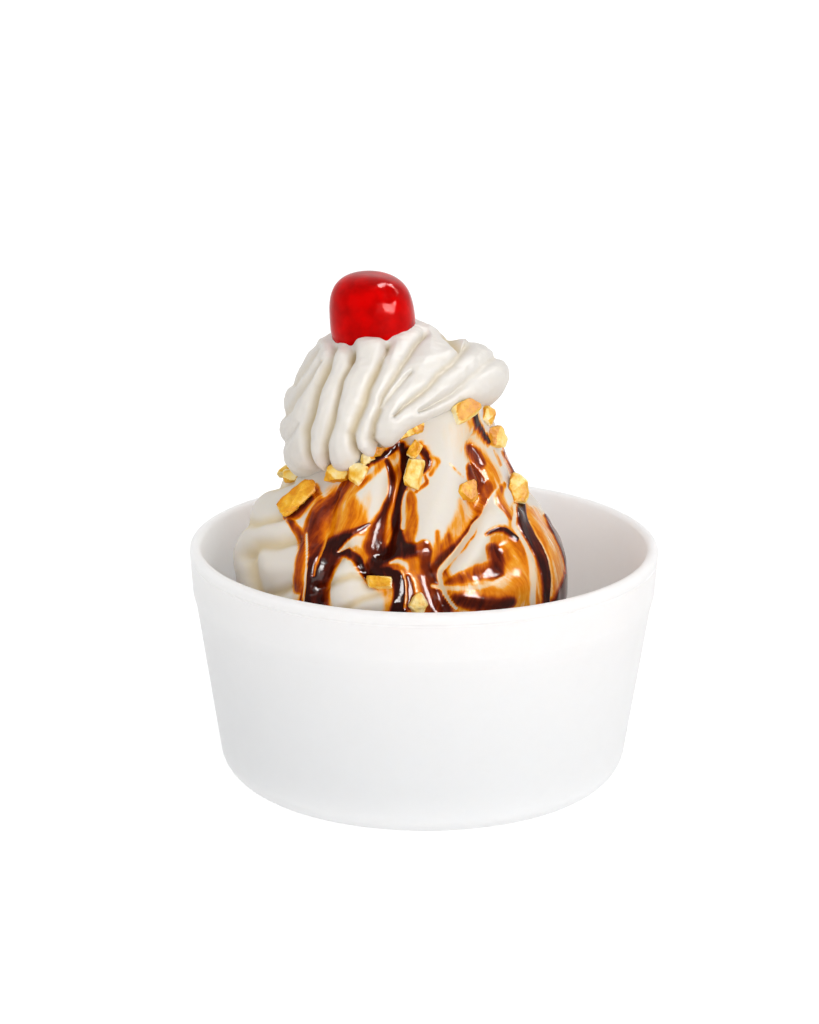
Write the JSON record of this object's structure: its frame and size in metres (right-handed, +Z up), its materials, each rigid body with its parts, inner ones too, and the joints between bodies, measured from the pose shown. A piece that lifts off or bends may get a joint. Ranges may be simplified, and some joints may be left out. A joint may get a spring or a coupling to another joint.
{
  "type": "soft serve sundae",
  "caption": "Vanilla soft serve sundae with chocolate syrup, chopped nuts, whipped cream and a cherry in a white foam bowl.",
  "frame": {"origin": "middle of the bowl's underside, on the surface that it stands on", "axes": "+Z up along the bowl's axis, +X to the right and +Y away from the viewer as the sundae is seen from its front"},
  "size_m": [0.114, 0.114, 0.1246],
  "materials": {
    "foam_white": "matte moulded foam with a fine bead texture",
    "vanilla_ice": "creamy vanilla soft serve under streams of dark and amber chocolate syrup, wet and glossy, with chopped nuts",
    "whipped_cream": "soft satin cream, a little translucent",
    "cherry_red": "wet, glossy and a little translucent"
  },
  "bodies": {
    "root": {"bowl": "foam_white", "soft_serve": "vanilla_ice", "whipped_cream": "whipped_cream", "cherry": "cherry_red"}
  },
  "joints": []
}
